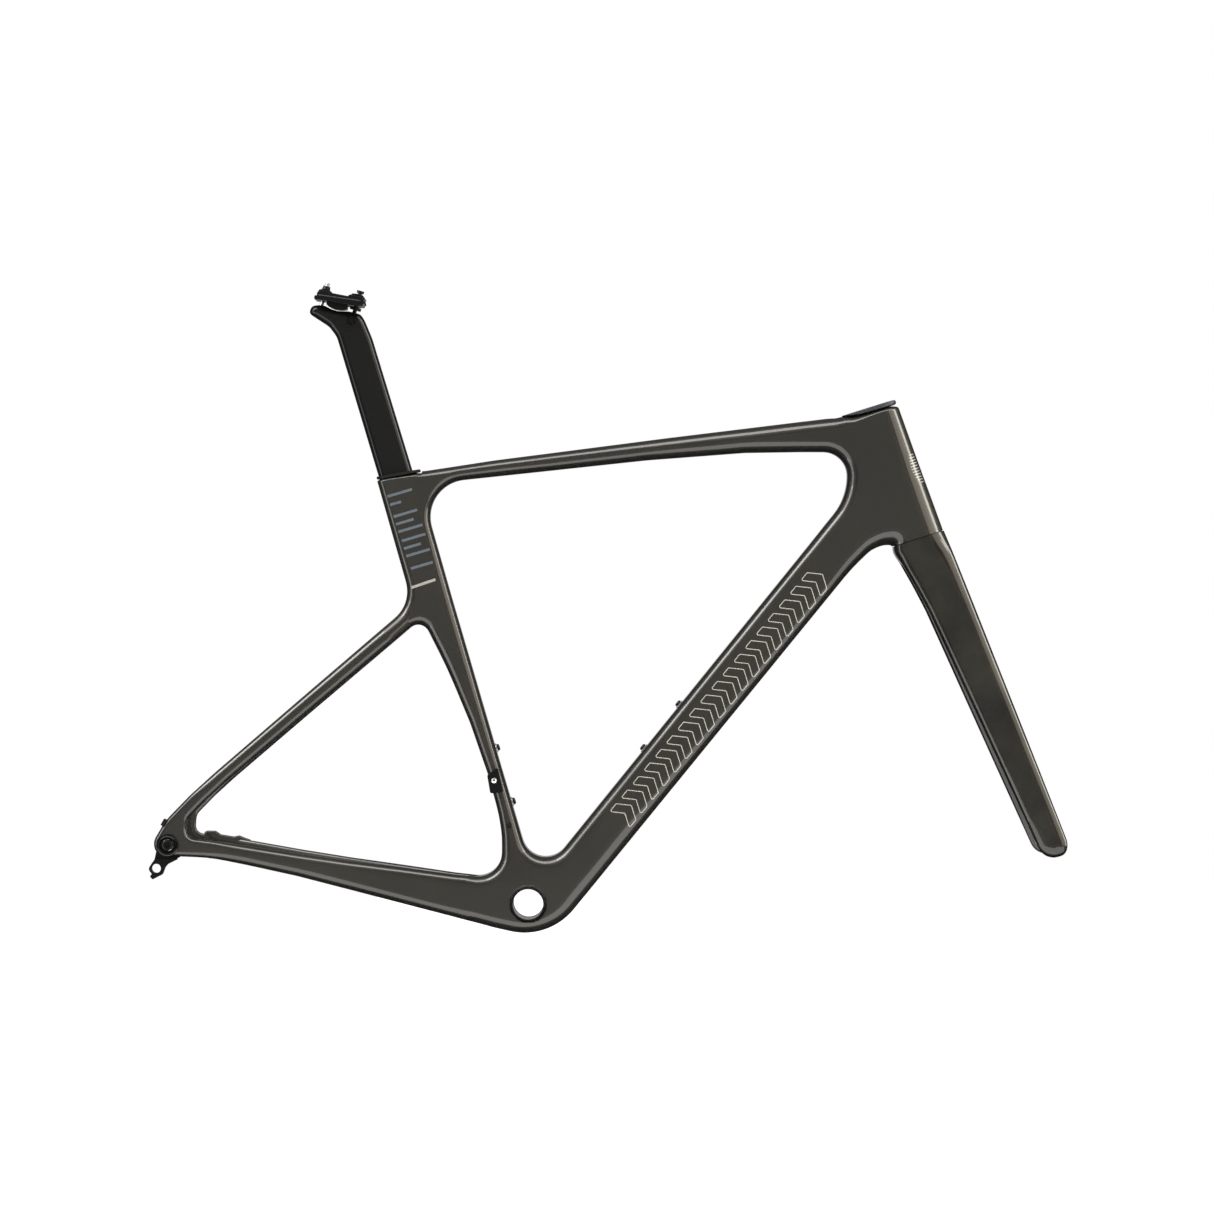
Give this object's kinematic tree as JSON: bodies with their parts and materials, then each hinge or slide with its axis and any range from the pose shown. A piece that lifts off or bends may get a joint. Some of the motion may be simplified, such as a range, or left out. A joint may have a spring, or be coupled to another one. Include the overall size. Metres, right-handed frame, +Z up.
{
  "type": "bicycle frame",
  "caption": "Carbon road bicycle frame with turning fork, sliding aero seatpost, tilting saddle clamp and removable wheel axles.",
  "frame": {"origin": "centre of the bottom bracket, in the frame's middle plane", "axes": "+X towards the front wheel, +Y to the rider's left, +Z up; wheel axles level"},
  "size_m": [1.0358, 0.1679, 0.7378],
  "materials": {
    "painted_carbon": "dark olive-grey lacquer over carbon, glossy",
    "black_carbon": "black carbon, satin gloss",
    "black_alloy": "black anodised",
    "silver_alloy": "machined",
    "steel": "bright",
    "rubber_black": "matt"
  },
  "bodies": {
    "frame": {"head_tube": "painted_carbon", "top_tube": "painted_carbon", "down_tube": "painted_carbon", "seat_tube": "painted_carbon", "bottom_bracket_shell": "painted_carbon", "right_chainstay": "painted_carbon", "left_chainstay": "painted_carbon", "right_seatstay": "painted_carbon", "left_seatstay": "painted_carbon", "right_dropout": "painted_carbon", "left_dropout": "painted_carbon", "derailleur_hanger": "black_alloy", "hanger_nut": "black_alloy", "front_derailleur_mount": "black_alloy", "headset_top_cover": "black_alloy", "seat_tube_upper_bottle_bolt": "black_alloy", "seat_tube_lower_bottle_bolt": "black_alloy", "down_tube_lower_bottle_bolt": "black_alloy", "down_tube_upper_bottle_bolt": "black_alloy", "rear_brake_mount": "black_alloy", "bb_threaded_sleeve": "silver_alloy", "left_dropout_bush": "silver_alloy", "seat_tube_upper_bottle_rivnut": "silver_alloy", "seat_tube_lower_bottle_rivnut": "silver_alloy", "down_tube_lower_bottle_rivnut": "silver_alloy", "down_tube_upper_bottle_rivnut": "silver_alloy", "front_derailleur_screw": "silver_alloy", "lower_bearing_outer_race": "steel", "upper_bearing_outer_race": "steel", "seat_collar_cover": "rubber_black", "seat_wedge_port_plug": "rubber_black", "seat_tube_cable_plug": "rubber_black", "rear_cable_grommet": "rubber_black"},
    "fork": {"fork_crown": "painted_carbon", "right_fork_blade": "painted_carbon", "left_fork_blade": "painted_carbon", "steerer": "black_carbon", "crown_race": "silver_alloy", "lower_bearing_inner_race": "steel", "upper_bearing_inner_race": "steel", "compression_ring": "silver_alloy", "expander_plug": "silver_alloy", "expander_bolt": "steel", "right_fork_insert": "silver_alloy", "left_fork_bush": "silver_alloy"},
    "lower_bearing": {"lower_bearing_balls": "steel"},
    "upper_bearing": {"upper_bearing_balls": "steel"},
    "seatpost": {"seatpost": "black_carbon", "clamp_cross_nut": "black_alloy"},
    "saddle_clamp": {"lower_cradle": "black_alloy", "rear_rail_clamp": "black_alloy", "front_rail_clamp": "black_alloy", "front_clamp_bolt": "steel", "rear_clamp_bolt": "steel", "rear_clamp_nut": "black_alloy", "tilt_adjusting_wheel": "black_alloy"},
    "seat_wedge": {"seat_wedge": "silver_alloy", "seat_wedge_screw": "steel"},
    "rear_axle": {"rear_thru_axle": "black_alloy"},
    "front_axle": {"front_thru_axle": "black_alloy"}
  },
  "joints": [
    {"name": "steering", "type": "hinge", "parent": "frame", "child": "fork", "pos_m": [0.4446, 0, 0.4151], "axis": [-0.309, 0, 0.9511], "range_deg": [-75, 75]},
    {"name": "lower_bearing_spin", "type": "hinge", "parent": "frame", "child": "lower_bearing", "pos_m": [0.4446, 0, 0.4151], "axis": [-0.309, 0, 0.9511], "range_deg": [-38, 38]},
    {"name": "upper_bearing_spin", "type": "hinge", "parent": "frame", "child": "upper_bearing", "pos_m": [0.4446, 0, 0.4151], "axis": [-0.309, 0, 0.9511], "range_deg": [-38, 38]},
    {"name": "seatpost_height", "type": "slide", "parent": "frame", "child": "seatpost", "axis": [-0.2857, 0, 0.9583], "range_m": [-0.035, 0.025]},
    {"name": "saddle_tilt", "type": "hinge", "parent": "seatpost", "child": "saddle_clamp", "pos_m": [-0.21248, 0, 0.70035], "axis": [0, 1, 0], "range_deg": [-3, 3]},
    {"name": "seat_wedge_travel", "type": "slide", "parent": "frame", "child": "seat_wedge", "axis": [0.9583, 0, 0.2857], "range_m": [0, 0.0018]},
    {"name": "rear_axle_pull", "type": "slide", "parent": "frame", "child": "rear_axle", "axis": [0, 1, 0], "range_m": [0, 0.17]},
    {"name": "front_axle_pull", "type": "slide", "parent": "fork", "child": "front_axle", "axis": [0, 1, 0], "range_m": [0, 0.122]}
  ],
  "couplings": [
    {"joint": "lower_bearing_spin", "follows": "steering", "ratio": 0.5},
    {"joint": "upper_bearing_spin", "follows": "steering", "ratio": 0.5}
  ]
}
